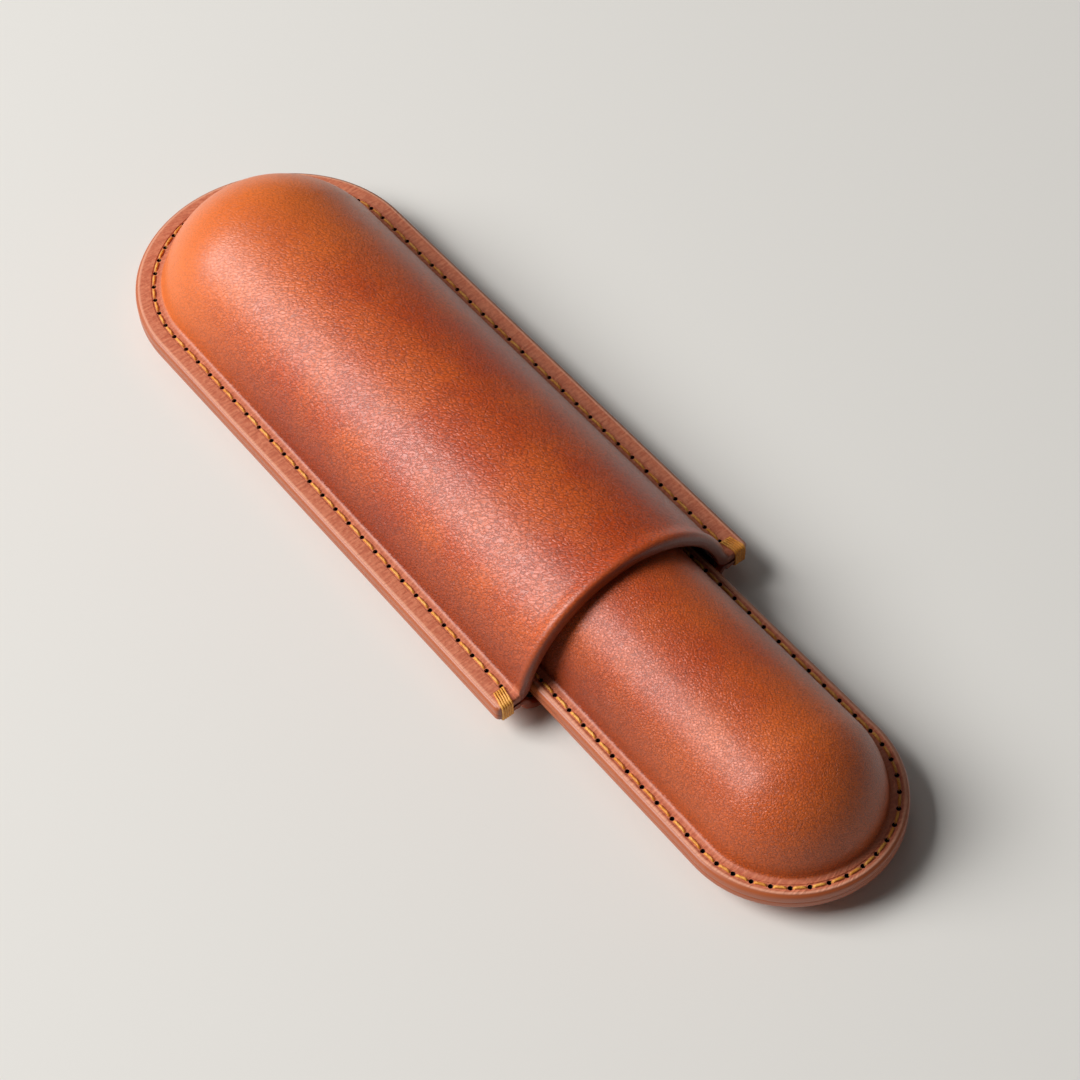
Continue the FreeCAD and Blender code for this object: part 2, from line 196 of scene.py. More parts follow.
def dome_arc(crown, land, foot):
    """Works out the arc of a dome's section that runs into the fillet at the flange: the height of
    its centre, the height of the fillet's centre and the angle that both sweep."""
    rise = FLANGE_TOP + BASE_FILLET
    radius = (foot - land) ** 2 + (crown - rise) ** 2 - BASE_FILLET ** 2
    radius /= 2 * (crown - rise + BASE_FILLET)
    centre = crown - radius
    return centre, rise, math.atan2(foot - land, rise - centre)


def mould_leather(name, crown, land, foot, stitch_line, half_width, pitch, side_stitches,
                  end_stitches):
    """Moulds one leather shell about the centre of its closed end, crown up and mouth along +X.
    Land is half the width of the level part of a lower half, or 0."""
    centre, rise, sweep = dome_arc(crown, land, foot)
    piece = start_section(name, crown)
    if land:
        draw_line(land, 0, steps=5)
    draw_arc(land, centre, -sweep, steps=24)
    draw_arc(foot, rise, sweep, steps=7)
    draw_line(stitch_line - GROOVE_HALF_WIDTH - foot, 0)
    draw_line(GROOVE_SLOPE, -GROOVE_DEPTH)
    draw_line(GROOVE_HALF_WIDTH - GROOVE_SLOPE, 0)
    draw_line(GROOVE_HALF_WIDTH - GROOVE_SLOPE, 0)
    draw_line(GROOVE_SLOPE, GROOVE_DEPTH)
    margin = half_width - EDGE_ROUND - stitch_line - GROOVE_HALF_WIDTH
    draw_line(margin / 2, MARGIN_SWELL)
    draw_line(margin / 2, -MARGIN_SWELL)
    draw_arc(half_width - EDGE_ROUND, FLANGE_TOP - EDGE_ROUND, -math.pi / 2, steps=6)
    draw_line(0, EDGE_ROUND + NICK_HEIGHT + SEAM_GAP - FLANGE_TOP, steps=2)
    draw_line(-NICK_WIDTH, -NICK_HEIGHT)
    draw_line(-LIP, 0)
    draw_line(0, LINING - SEAM_GAP)
    draw_line(foot - half_width + NICK_WIDTH + LIP, 0, steps=2)
    draw_arc(foot, rise, -sweep, steps=6)
    draw_arc(land, centre, sweep, steps=16)
    if land:
        draw_line(-land, 0, steps=3)
    run = pitch * side_stitches
    sweep_section(4 * end_stitches, run, divisions=(side_stitches, 4))
    bead = 0 if land else MOUTH_BEAD
    drawn_in = 0.4 * margin
    # Each row: step forward, swell outside, share of the flange, swell inside, corner drawn in.
    roll_mouth(run, foot, half_width, (
        (1.0, bead, 1, 0, 0),
        (0.75, 1.5 * bead, 1, 0.16, 0),
        (0.45, 0.4 * bead, 1, 0.18, 0),
        (0.3, -0.03, 1, 0.04, 0.03 * drawn_in),
        (0.24, -0.11, 0.99, 0, 0.11 * drawn_in),
        (0.18, -0.19, 0.965, 0, 0.18 * drawn_in),
        (0.14, -0.25, 0.94, -0.04, 0.24 * drawn_in),
        (0.09, -0.28, 0.92, -0.08, 0.3 * drawn_in),
        (0.05, -0.22, 0.9, -0.14, 0.14 * drawn_in),
    ))

    def is_needle_point(v):
        above_groove = abs(v.co.z - (FLANGE_TOP - GROOVE_DEPTH) * MM) > 0.002 * MM
        if above_groove or v.co.x > (run + 0.01) * MM:
            return False
        if v.co.x > -0.002 * MM:
            place = v.co.x / (pitch * MM)
            across = abs(v.co.y)
        else:
            place = math.atan2(-v.co.x, v.co.y) * end_stitches / math.pi
            across = math.hypot(v.co.x, v.co.y)
        return abs(across - stitch_line * MM) < 0.01 * MM and abs(place - round(place)) < 0.01

    pick("VERT", is_needle_point)
    bpy.ops.mesh.bevel(offset=HOLE_SIZE * MM, segments=2, profile=0.1, affect="VERTICES")
    bpy.ops.mesh.select_mode(type="FACE")
    bpy.ops.mesh.extrude_region_move(TRANSFORM_OT_translate={"value": (0, 0, -HOLE_DEPTH * MM)})
    bpy.ops.mesh.select_more()
    # Faces that reach deep into a hole take the second slot, the needle holes' painted shade.
    pricked = bmesh.from_edit_mesh(piece.data)
    for face in pricked.faces:
        if face.select and min(v.co.z for v in face.verts) < (FLANGE_TOP - PAINTED_SHADE_DEPTH) * MM:
            face.material_index = 1
    bmesh.update_edit_mesh(piece.data)
    bpy.ops.object.mode_set(mode="OBJECT")
    return piece


def set_in_place(piece, centre, faces_cap=False, lower=False):
    """Turns a piece made at the origin into its place on the case and applies that to its mesh."""
    piece.rotation_euler = (math.pi if lower else 0, 0, math.pi if faces_cap else 0)
    piece.location = (centre, 0, SEAM_HEIGHT)
    work_on(piece)
    bpy.ops.object.transform_apply(location=True, rotation=True, scale=True)
    bpy.ops.object.shade_smooth_by_angle(angle=SMOOTH_ANGLE)


def add(tree, kind, sockets=(), **settings):
    """Adds a shader node. Settings are its properties, sockets its inputs, values or links."""
    node = tree.nodes.new(kind)
    for key, value in settings.items():
        setattr(node, key, value)
    for key, value in dict(sockets).items():
        if isinstance(value, bpy.types.NodeSocket):
            tree.links.new(value, node.inputs[key])
        else:
            node.inputs[key].default_value = value
    return node


def reckon(tree, operation, first, second=0.0):
    """Adds a sum, product or other reckoning of two values."""
    return add(tree, "ShaderNodeMath", {0: first, 1: second}, operation=operation).outputs[0]


def fade(tree, value, start, end, low=0.0, high=1.0):
    """Adds a smooth fade from low to high as a value goes from start to end."""
    return add(tree, "ShaderNodeMapRange", {"Value": value, "From Min": start, "From Max": end,
               "To Min": low, "To Max": high}, interpolation_type="SMOOTHSTEP").outputs["Result"]


def blend_colour(tree, share, first, second):
    """Adds a mix of two colours."""
    return add(tree, "ShaderNodeMix", {0: share, 6: first, 7: second},
               data_type="RGBA").outputs[2]


def colour(red, green, blue):
    """A colour given in screen values from 0 to 255, as a shader wants it."""
    return tuple((c / 255 / 12.92 if c < 10.3 else ((c / 255 + 0.055) / 1.055) ** 2.4)
                 for c in (red, green, blue)) + (1.0,)


# Where a point lies on the outline of one half: its distance from the middle line, taken round the
# closed end, and its distance along the seam, both in millimetres.
outline = bpy.data.node_groups.new("case_outline", "ShaderNodeTree")
outline.interface.new_socket(name="Place", in_out="INPUT", socket_type="NodeSocketVector")
outline.interface.new_socket(name="End Centre", in_out="INPUT", socket_type="NodeSocketFloat")
outline.interface.new_socket(name="Way", in_out="INPUT", socket_type="NodeSocketFloat")
outline.interface.new_socket(name="Across", in_out="OUTPUT", socket_type="NodeSocketFloat")
outline.interface.new_socket(name="Along", in_out="OUTPUT", socket_type="NodeSocketFloat")
given = outline.nodes.new("NodeGroupInput").outputs
place = add(outline, "ShaderNodeSeparateXYZ", {0: given["Place"]}).outputs
from_centre = reckon(outline, "SUBTRACT", place[0], given["End Centre"])
beyond = reckon(outline, "MULTIPLY", from_centre, given["Way"])
round_end = reckon(outline, "MAXIMUM", beyond, 0.0)
side = reckon(outline, "ABSOLUTE", place[1])
away_squared = reckon(outline, "ADD", reckon(outline, "MULTIPLY", round_end, round_end),
                      reckon(outline, "MULTIPLY", side, side))
away = reckon(outline, "SQRT", away_squared)
turned = reckon(outline, "MULTIPLY", reckon(outline, "ARCTAN2", round_end, side), away)
passed = reckon(outline, "ADD", turned, reckon(outline, "MINIMUM", beyond, 0.0))
add(outline, "NodeGroupOutput", {"Across": reckon(outline, "MULTIPLY", away, 1000.0),
                                 "Along": reckon(outline, "MULTIPLY", passed, 1000.0)})

# Natural grain: small cells cut by wandering creases, about one cell to a unit of length.
grain = bpy.data.node_groups.new("leather_grain", "ShaderNodeTree")
grain.interface.new_socket(name="Place", in_out="INPUT", socket_type="NodeSocketVector")
grain.interface.new_socket(name="Height", in_out="OUTPUT", socket_type="NodeSocketFloat")
given = grain.nodes.new("NodeGroupInput").outputs
wander = add(grain, "ShaderNodeTexNoise", {"Vector": given["Place"], "Scale": 1.0, "Detail": 2.0,
             "Roughness": 0.55, "Distortion": 0.5}).outputs[0]
creases = fade(grain, reckon(grain, "ABSOLUTE", reckon(grain, "SUBTRACT", wander, 0.5)), 0.0, 0.06)
cells = add(grain, "ShaderNodeTexVoronoi", {"Vector": given["Place"], "Scale": 1.1},
            feature="DISTANCE_TO_EDGE").outputs["Distance"]
domed = fade(grain, cells, 0.0, 0.28)
fine = add(grain, "ShaderNodeTexNoise", {"Vector": given["Place"], "Scale": 2.4,
           "Detail": 2.0}).outputs[0]
lumps = reckon(grain, "ADD", reckon(grain, "MULTIPLY", domed, 0.4),
               reckon(grain, "MULTIPLY", fine, 0.2))
grain_height = reckon(grain, "ADD", lumps, reckon(grain, "MULTIPLY", creases, 0.4))
add(grain, "NodeGroupOutput", {"Height": grain_height})


def finish_leather(name, centre, way, foot, half_width, mouth, cell, stretch, end_grain, end_stretch_and_light):
    """Waxed pull-up leather. Painted shade darkens the dome towards its foot, less so at the closed
    end; the closed end is lighter and warmer, partly from the stretch over the former and partly as
    painted light. The pale pressed flange carries a painted highlight along the top of its rounded
    edge, then a burnished edge; the rolled mouth is dark, and its cut end is darkened partly by edge
    paint and partly as painted shade. Cell and stretch are the grain's size and its length over its
    width, end_grain the share of it left at the closed end, and the last argument how far that end is
    lightened, for the stretch and the painted light."""
    material = bpy.data.materials.new(name)
    material.use_nodes = True
    tree = material.node_tree
    shader = tree.nodes["Principled BSDF"]
    here = add(tree, "ShaderNodeTexCoord").outputs["Object"]
    line = add(tree, "ShaderNodeGroup", node_tree=outline)
    line.inputs["End Centre"].default_value = centre
    line.inputs["Way"].default_value = way
    tree.links.new(here, line.inputs["Place"])
    across, along = line.outputs
    on_flange = fade(tree, across, foot - 0.66, foot - 0.28)
    on_edge = fade(tree, across, half_width - 0.62, half_width - 0.3)
    # A band along the top of the flange's rounded edge, used for a painted highlight.
    painted_bevel_highlight = reckon(tree, "SUBTRACT",
                       fade(tree, across, half_width - 0.95, half_width - 0.72), on_edge)
    x = add(tree, "ShaderNodeSeparateXYZ", {0: here}).outputs[0]
    from_mouth = reckon(tree, "ABSOLUTE", reckon(tree, "SUBTRACT", x, mouth))
    at_mouth = fade(tree, from_mouth, 0.0015, 0.0007)
    at_mouth = reckon(tree, "MULTIPLY", at_mouth, reckon(tree, "SUBTRACT", 1.0, on_flange))
    # The cut end of the mouth, darkened partly by edge paint and partly as painted shade.
    cut_end_paint_and_shade = fade(tree, from_mouth, 0.0004, 0.0001, 0, 0.7)
    past_centre = reckon(tree, "MULTIPLY", reckon(tree, "SUBTRACT", x, centre), way)
    to_end = fade(tree, past_centre, -0.03, 0.018)

    turned = add(tree, "ShaderNodeMapping", {"Vector": here,
                 "Rotation": (0, math.radians(21), math.radians(-35))}).outputs[0]
    drawn = add(tree, "ShaderNodeMapping", {"Vector": turned,
                "Scale": (1 / (cell * stretch), 1 / cell, 1 / cell)}).outputs[0]
    pebble = add(tree, "ShaderNodeGroup", {"Place": drawn}, node_tree=grain).outputs["Height"]
    cloud = add(tree, "ShaderNodeTexNoise", {"Vector": here, "Scale": 55.0, "Detail": 3.0,
                "Roughness": 0.6}).outputs[0]
    speckle = add(tree, "ShaderNodeTexNoise", {"Vector": here, "Scale": 1500.0, "Detail": 3.0,
                  "Roughness": 0.65}).outputs[0]
    seam_place = add(tree, "ShaderNodeCombineXYZ", {0: reckon(tree, "MULTIPLY", along, 2.2),
                     1: reckon(tree, "MULTIPLY", across, 0.35)}).outputs[0]
    pucker = add(tree, "ShaderNodeTexNoise", {"Vector": seam_place, "Scale": 1.0,
                 "Detail": 2.0}).outputs[0]

    tone = blend_colour(tree, fade(tree, cloud, 0.35, 0.68), colour(196, 73, 18),
                        colour(218, 96, 28))
    # Painted shade: the dome is darkened towards its foot at the flange, less so towards the closed
    # end.
    foot_shade_share = reckon(tree, "SUBTRACT", 0.7, reckon(tree, "MULTIPLY", to_end, 0.4))
    low = fade(tree, across, foot - 6, foot - 0.8, 0, foot_shade_share)
    tone = blend_colour(tree, low, tone, colour(132, 42, 10))
    # The closed end is lightened and warmed, partly the leather's stretch over the former and partly
    # painted light.
    stretch_and_light_at_end = reckon(tree, "MULTIPLY", to_end, end_stretch_and_light)
    tone = blend_colour(tree, stretch_and_light_at_end, tone, colour(240, 124, 46))
    grain_share = fade(tree, to_end, 0, 1, 1, end_grain)
    in_crease = reckon(tree, "MULTIPLY", fade(tree, pebble, 0.3, 0.72, 0.5, 0.0), grain_share)
    tone = blend_colour(tree, in_crease, tone, colour(96, 29, 8))
    mottle = fade(tree, reckon(tree, "ADD", speckle, pucker), 0.75, 1.3)
    pressed = blend_colour(tree, mottle, colour(188, 98, 66), colour(216, 130, 94))
    tone = blend_colour(tree, on_flange, tone, pressed)
    # Painted highlight: a pale band along the top of the flange's rounded edge.
    bevel_highlight_share = reckon(tree, "MULTIPLY", painted_bevel_highlight, 0.55)
    tone = blend_colour(tree, bevel_highlight_share, tone, colour(240, 178, 146))
    burnished = blend_colour(tree, cloud, colour(160, 74, 34), colour(188, 98, 50))
    tone = blend_colour(tree, on_edge, tone, burnished)
    rim_share = reckon(tree, "MULTIPLY", at_mouth, 0.5)
    tone = blend_colour(tree, rim_share, tone, colour(178, 78, 34))
    # Darker cut end at the mouth: partly edge paint, partly painted shade.
    tone = blend_colour(tree, cut_end_paint_and_shade, tone, colour(104, 42, 16))
    tree.links.new(tone, shader.inputs["Base Color"])

    gloss = fade(tree, cloud, 0.3, 0.7, 0.38, 0.45)
    gloss = add(tree, "ShaderNodeMix", {0: on_flange, 2: gloss, 3: 0.62}).outputs[0]
    gloss = add(tree, "ShaderNodeMix", {0: on_edge, 2: gloss, 3: 0.42}).outputs[0]
    tree.links.new(gloss, shader.inputs["Roughness"])
    shader.inputs["Specular IOR Level"].default_value = 0.48
    shader.inputs["Coat Weight"].default_value = 0.32
    shader.inputs["Coat Roughness"].default_value = 0.34

    plain = reckon(tree, "SUBTRACT", 1.0, reckon(tree, "MULTIPLY", at_mouth, 0.6))
    on_dome = reckon(tree, "MULTIPLY", reckon(tree, "SUBTRACT", 1.0, on_flange), plain)
    relief = reckon(tree, "MULTIPLY", pebble, on_dome)
    relief = reckon(tree, "MULTIPLY", relief, grain_share)
    rough_flange = reckon(tree, "ADD", reckon(tree, "MULTIPLY", speckle, 0.5),
                          reckon(tree, "MULTIPLY", pucker, 1.6))
    flange_face = reckon(tree, "SUBTRACT", on_flange, on_edge)
    rough_flange = reckon(tree, "MULTIPLY", rough_flange, flange_face)
    relief = reckon(tree, "ADD", relief, rough_flange)
    bump = add(tree, "ShaderNodeBump", {"Height": relief, "Strength": 1.0, "Distance": 0.0001})
    tree.links.new(bump.outputs[0], shader.inputs["Normal"])
    return material


# Needle holes: a near-black colour on the faces deep in each hole, painted shade standing for the
# darkness down the narrow holes, mottled a little by noise.
needle_hole_shade = bpy.data.materials.new("needle_hole_shade")
needle_hole_shade.use_nodes = True
dark = needle_hole_shade.node_tree.nodes["Principled BSDF"]
hole_place = add(needle_hole_shade.node_tree, "ShaderNodeTexCoord").outputs["Object"]
hole_shade_noise = add(needle_hole_shade.node_tree, "ShaderNodeTexNoise",
           {"Vector": hole_place, "Scale": 900.0}).outputs[0]
painted_hole_shade = blend_colour(needle_hole_shade.node_tree, hole_shade_noise, colour(16, 7, 4), colour(30, 13, 7))
needle_hole_shade.node_tree.links.new(painted_hole_shade, dark.inputs["Base Color"])
dark.inputs["Roughness"].default_value = 0.9

cap_leather = finish_leather("cap_leather", CAP_CENTRE, -1, CAP_FOOT, CAP_HALF_WIDTH,
                             mouth=CAP_CENTRE + CAP_STRAIGHT * MM, cell=0.53 * MM, stretch=2.0,
                             end_grain=0.4, end_stretch_and_light=0.75)
cap_upper = mould_leather("cap_upper_leather", CAP_CROWN, 0, CAP_FOOT, CAP_STITCH_LINE,
                          CAP_HALF_WIDTH, CAP_PITCH, CAP_SIDE_STITCHES, CAP_END_STITCHES)
set_in_place(cap_upper, CAP_CENTRE)
for finish in (cap_leather, needle_hole_shade):
    cap_upper.data.materials.append(finish)
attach(cap_upper, "cap")
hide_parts("cap_top_shell")


# Cap, lower half. The same leather pressed into a shallow tray with a level underside to rest on,
# and sewn face to face with the upper half.
cap_lower = mould_leather("cap_lower_leather", CAP_DEPTH, CAP_LAND, CAP_FOOT, CAP_STITCH_LINE,
                          CAP_HALF_WIDTH, CAP_PITCH, CAP_SIDE_STITCHES, CAP_END_STITCHES)
set_in_place(cap_lower, CAP_CENTRE, lower=True)
for finish in (cap_leather, needle_hole_shade):
    cap_lower.data.materials.append(finish)
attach(cap_lower, "cap")
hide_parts("cap_bottom_shell")


# Cap lining, upper and lower. Thin dark brown napped cloth glued inside each half, caught in the
# seam and ending just behind the rolled mouth.
GLUE_GAP = 0.01
LINING_INSET = 0.75
LINING_SETBACK = 1.5


def mould_lining(name, crown, land, foot, half_width, straight):
    """Moulds one lining to the inside of a leather shell."""
    centre, rise, sweep = dome_arc(crown, land, foot)
    piece = start_section(name, crown - LEATHER - GLUE_GAP)
    if land:
        draw_line(land, 0, steps=2)
    draw_arc(land, centre, -sweep, steps=16)
    draw_arc(foot, rise, sweep, steps=6)
    draw_line(half_width - LINING_INSET - foot, 0, steps=2)
    draw_line(0, 2 * GLUE_GAP - LINING)
    draw_line(foot - half_width + LINING_INSET, 0, steps=2)
    draw_arc(foot, rise, -sweep, steps=6)
    draw_arc(land, centre, sweep, steps=16)
    if land:
        draw_line(-land, 0, steps=2)
    sweep_section(44, straight - LINING_SETBACK, divisions=(30,))
    pick("EDGE", lambda edge: edge.is_boundary)
    bpy.ops.mesh.edge_face_add()
    bpy.ops.object.mode_set(mode="OBJECT")
    return piece


napped_cloth = bpy.data.materials.new("napped_lining")
napped_cloth.use_nodes = True
cloth = napped_cloth.node_tree
nap_place = add(cloth, "ShaderNodeTexCoord").outputs["Object"]
nap = add(cloth, "ShaderNodeTexNoise",
          {"Vector": nap_place, "Scale": 2600.0, "Detail": 3.0}).outputs[0]
brushed = add(cloth, "ShaderNodeTexNoise",
              {"Vector": nap_place, "Scale": 120.0, "Detail": 2.0}).outputs[0]
nap_tone = blend_colour(cloth, fade(cloth, brushed, 0.35, 0.65),
                        colour(66, 38, 25), colour(86, 52, 35))
nap_tone = blend_colour(cloth, fade(cloth, nap, 0.4, 0.7, 0.5, 0.0), nap_tone, colour(44, 24, 16))
cloth_shader = cloth.nodes["Principled BSDF"]
cloth.links.new(nap_tone, cloth_shader.inputs["Base Color"])
cloth_shader.inputs["Roughness"].default_value = 0.92
cloth_shader.inputs["Sheen Weight"].default_value = 0.25
nap_bump = add(cloth, "ShaderNodeBump", {"Height": nap, "Strength": 0.6, "Distance": 0.00006})
cloth.links.new(nap_bump.outputs[0], cloth_shader.inputs["Normal"])

for side_name, node, crown, land in (("upper", "cap_top_lining", CAP_CROWN, 0),
                                     ("lower", "cap_bottom_lining", CAP_DEPTH, CAP_LAND)):
    lining = mould_lining(f"cap_{side_name}_lining", crown, land, CAP_FOOT, CAP_HALF_WIDTH,
                          CAP_STRAIGHT)
    set_in_place(lining, CAP_CENTRE, lower=side_name == "lower")
    lining.data.materials.append(napped_cloth)
    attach(lining, "cap")
    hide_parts(node)


# Cap seam, upper and lower thread. A lockstitch of twisted golden thread runs round the flange in
# its groove and dives into a needle hole at each end of every stitch.
THREAD_RADIUS = 0.21
THREAD_LIFT = 0.02
PLY_TWIST = math.radians(380)
NEEDLE_GAP = 0.7


def lay_stitch(length):
    """Lays one stitch of two-ply thread along X, its ends bent down into the needle holes."""
    bpy.ops.object.select_all(action="DESELECT")
    bpy.ops.mesh.primitive_cylinder_add(vertices=8, radius=THREAD_RADIUS * MM, depth=length * MM,
                                        rotation=(0, math.pi / 2, 0))
    stitch = bpy.context.object
    bpy.ops.object.transform_apply(rotation=True)
    bpy.ops.object.mode_set(mode="EDIT")
    pick("EDGE", lambda edge: abs(edge.verts[0].co.x - edge.verts[1].co.x) > 0.9 * length * MM)
    bpy.ops.mesh.subdivide(number_cuts=8)
    bpy.ops.mesh.select_all(action="SELECT")
    bpy.ops.transform.resize(value=(1, 1.08, 0.95))
    bpy.ops.object.mode_set(mode="OBJECT")
    ply = stitch.modifiers.new("ply", "SIMPLE_DEFORM")
    ply.deform_method = "TWIST"
    ply.deform_axis = "X"
    ply.angle = PLY_TWIST
    bpy.ops.object.modifier_apply(modifier="ply")
    bpy.ops.object.mode_set(mode="EDIT")
    for share, drop in ((0.9, -0.3), (0.7, -0.1), (0.5, -0.03)):
        pick("VERT", lambda v: abs(v.co.x) > share * length * MM / 2)
        bpy.ops.transform.translate(value=(0, 0, drop * MM))
    bpy.ops.mesh.select_all(action="SELECT")
    bpy.ops.transform.translate(value=(0, 0, (FLANGE_TOP + THREAD_LIFT) * MM))
    bpy.ops.object.mode_set(mode="OBJECT")
    return stitch


def repeat(piece, count, offset=None, about=None):
    """Repeats a piece along an offset, or about the upright axis by an angle."""
    row = piece.modifiers.new("row", "ARRAY")
    row.count = count
    row.use_relative_offset = False
    if about is None:
        row.use_constant_offset = True
        row.constant_offset_displace = offset
    else:
        pivot = bpy.data.objects.new("pivot", None)
        bpy.context.scene.collection.objects.link(pivot)
        pivot.rotation_euler = (0, 0, about)
        bpy.context.view_layer.update()
        row.use_object_offset = True
        row.offset_object = pivot
    work_on(piece)
    bpy.ops.object.modifier_apply(modifier="row")
    if about is not None:
        bpy.data.objects.remove(pivot)


def sew_seam(name, stitch_line, pitch, side_stitches, end_stitches):
    """Sews one face of a seam: a row along each side of the half and a row round its closed end."""
    rows = []
    for hand in (1, -1):
        row = lay_stitch(pitch - NEEDLE_GAP)
        row.location = (pitch * MM / 2, hand * stitch_line * MM, 0)
        bpy.ops.object.transform_apply(location=True)
        repeat(row, side_stitches, offset=(pitch * MM, 0, 0))
        rows.append(row)
    step = math.pi / end_stitches
    row = lay_stitch(stitch_line * step - NEEDLE_GAP)
    row.location = (0, stitch_line * MM, 0)
    bpy.ops.object.transform_apply(location=True)
    row.rotation_euler = (0, 0, step / 2)
    bpy.ops.object.transform_apply(rotation=True)
    repeat(row, end_stitches, about=step)
    bpy.ops.object.select_all(action="DESELECT")
    for other in rows:
        other.select_set(True)
    row.select_set(True)
    bpy.ops.object.join()
    row.name = name
    row.data.name = name
    return row


golden_thread = bpy.data.materials.new("golden_thread")
golden_thread.use_nodes = True
yarn = golden_thread.node_tree
yarn_place = add(yarn, "ShaderNodeTexCoord").outputs["Object"]
fibre = add(yarn, "ShaderNodeTexNoise",
            {"Vector": yarn_place, "Scale": 5200.0, "Detail": 2.0}).outputs[0]
worn = add(yarn, "ShaderNodeTexNoise",
           {"Vector": yarn_place, "Scale": 240.0, "Detail": 2.0}).outputs[0]
yarn_tone = blend_colour(yarn, fade(yarn, worn, 0.35, 0.65),
                         colour(234, 152, 48), colour(252, 190, 88))
yarn_tone = blend_colour(yarn, fade(yarn, fibre, 0.42, 0.66, 0.5, 0.0), yarn_tone,
                         colour(186, 110, 36))
yarn_shader = yarn.nodes["Principled BSDF"]
yarn.links.new(yarn_tone, yarn_shader.inputs["Base Color"])
yarn_shader.inputs["Roughness"].default_value = 0.55
yarn_bump = add(yarn, "ShaderNodeBump", {"Height": fibre, "Strength": 0.6, "Distance": 0.00004})
yarn.links.new(yarn_bump.outputs[0], yarn_shader.inputs["Normal"])

for side_name, node in (("upper", "cap_top_stitches"), ("lower", "cap_bottom_stitches")):
    seam = sew_seam(f"cap_{side_name}_thread", CAP_STITCH_LINE, CAP_PITCH, CAP_SIDE_STITCHES,
                    CAP_END_STITCHES)
    set_in_place(seam, CAP_CENTRE, lower=side_name == "lower")
    seam.data.materials.clear()
    seam.data.materials.append(golden_thread)
    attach(seam, "cap")
    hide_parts(node)


# Cap bar tacks. At each corner of the mouth the seam ends in five strands laid side by side, each
# over the flange, round its front edge and back underneath.
STRAND_RADIUS = 0.19
STRAND_PITCH = 0.4
STRAND_LEAN = 0.09
STRAND_TURN = math.radians(24)
STRAND_INSET = 0.12
BEND_RADIUS = 0.55
BEND_SETBACK = 0.45


def tack_corner(name, first, strands, straight, hand):
    """Binds one corner of a mouth with strands of thread, from the end of the seam on."""
    start, start_height = straight - TACK_LENGTH + 0.15, 1.25
    climb, climb_height = 0.35, 0.45
    flat_steps = 6
    flat = (straight - BEND_SETBACK - start - climb) / flat_steps
    moves = [(climb, climb_height)] + [(flat, 0.0)] * flat_steps
    lean = hand * STRAND_LEAN
    made = []
    for number in range(strands):
        across = hand * (first + STRAND_PITCH * number)
        bpy.ops.object.select_all(action="DESELECT")
        bpy.ops.mesh.primitive_circle_add(vertices=8, radius=STRAND_RADIUS * MM,
                                          rotation=(0, math.pi / 2, 0),
                                          location=(start * MM, across * MM, start_height * MM))
        strand = bpy.context.object
        bpy.ops.object.transform_apply(location=True, rotation=True)
        bpy.ops.object.mode_set(mode="EDIT")
        bpy.ops.transform.resize(value=(1, 1.08, 0.85))
        reach, height = start, start_height
        for forward, rise in moves:
            move = (forward * MM, lean * MM, rise * MM)
            bpy.ops.mesh.extrude_region_move(TRANSFORM_OT_translate={"value": move})
            reach += forward
            across += lean
            height += rise
            bpy.ops.transform.rotate(value=STRAND_TURN, orient_axis="X",
                                     center_override=(reach * MM, across * MM, height * MM))
        bend = height - BEND_RADIUS
        bpy.ops.mesh.spin(steps=6, angle=-math.pi / 2, use_auto_merge=False, axis=(0, 1, 0),
                          center=(reach * MM, across * MM, bend * MM))
        bpy.ops.mesh.extrude_region_move(TRANSFORM_OT_translate={"value": (0, 0, -2 * bend * MM)})
        bpy.ops.mesh.spin(steps=6, angle=-math.pi / 2, use_auto_merge=False, axis=(0, 1, 0),
                          center=(reach * MM, across * MM, -bend * MM))
        for forward, rise in reversed(moves):
            move = (-forward * MM, -lean * MM, rise * MM)
            bpy.ops.mesh.extrude_region_move(TRANSFORM_OT_translate={"value": move})
        bpy.ops.mesh.select_all(action="SELECT")
        bpy.ops.mesh.normals_make_consistent(inside=False)
        bpy.ops.object.mode_set(mode="OBJECT")
        made.append(strand)
    bpy.ops.object.select_all(action="DESELECT")
    for strand in made:
        strand.select_set(True)
    bpy.context.view_layer.objects.active = made[0]
    bpy.ops.object.join()
    made[0].name = name
    made[0].data.name = name
    return made[0]


for side_name, hand in (("left", 1), ("right", -1)):
    tack = tack_corner(f"cap_{side_name}_tack", CAP_STITCH_LINE - STRAND_INSET, 5, CAP_STRAIGHT,
                       hand)
    set_in_place(tack, CAP_CENTRE)
    tack.data.materials.append(golden_thread)
    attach(tack, "cap")
    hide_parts(f"cap_{side_name}_bar_tack")


# Body, upper and lower half. Smaller shells of the same hide with a finer grain and a narrower
# flange, sewn face to face. They clear the cap's lining, so that the body slides inside the cap.
SIDE_CLEARANCE = 0.45
LEVEL_CLEARANCE = 0.6
BODY_REACH = 36.1
BODY_STRAIGHT = 116
BODY_FLANGE = 1.54
BODY_TRAY_WALL = 3.91
BODY_CENTRE = CAP_CENTRE + (CAP_STRAIGHT + BODY_REACH) * MM
BODY_CROWN = CAP_CROWN - LEATHER - LINING - LEVEL_CLEARANCE
BODY_DEPTH = CAP_DEPTH - LEATHER - LINING - LEVEL_CLEARANCE
BODY_HALF_WIDTH = CAP_FOOT - BASE_FILLET - LEATHER - LINING - SIDE_CLEARANCE
BODY_STITCH_LINE = BODY_HALF_WIDTH - BODY_FLANGE
BODY_FOOT = BODY_STITCH_LINE - STITCH_STEP
BODY_LAND = BODY_FOOT - BODY_TRAY_WALL
BODY_SIDE_STITCHES = 34
BODY_END_STITCHES = 18
BODY_PITCH = (BODY_STRAIGHT - TACK_LENGTH) / BODY_SIDE_STITCHES
